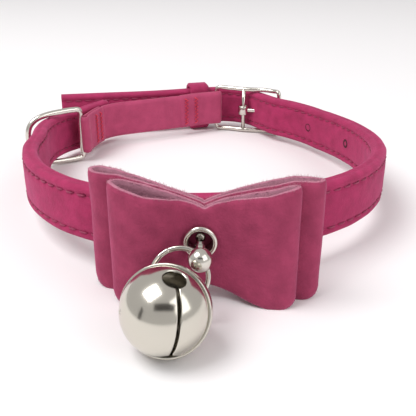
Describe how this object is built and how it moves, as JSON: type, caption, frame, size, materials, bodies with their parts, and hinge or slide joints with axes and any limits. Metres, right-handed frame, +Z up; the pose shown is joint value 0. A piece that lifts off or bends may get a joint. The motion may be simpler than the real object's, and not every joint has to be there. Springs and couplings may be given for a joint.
{
  "type": "pet bow tie collar",
  "caption": "Small velvet pet collar fastened in a loop by a bar buckle and a short elastic, with a tag ring, a flat velvet bow and a round bell on a split ring",
  "frame": {"origin": "the middle of the base, on the surface that the collar stands on", "axes": "+Z up, the bow and the bell towards -Y, the buckle towards +Y"},
  "size_m": [0.0778, 0.1136, 0.0193],
  "materials": {
    "strap_velvet": "soft matte pile",
    "bow_velvet": "soft matte pile with raw edges",
    "elastic": "fine ribbed knit",
    "nickel": "polished",
    "bell_metal": "polished, warm silver"
  },
  "bodies": {
    "root": {"collar_strap": "strap_velvet", "elastic_band": "elastic", "keeper_loop": "strap_velvet", "d_ring": "nickel", "buckle_frame": "nickel", "buckle_prong": "nickel", "bow_back_loop": "bow_velvet", "bow_front_loop": "bow_velvet", "eyelet": "nickel", "ball_stud": "nickel", "split_ring": "nickel", "bell": "bell_metal"}
  },
  "joints": []
}
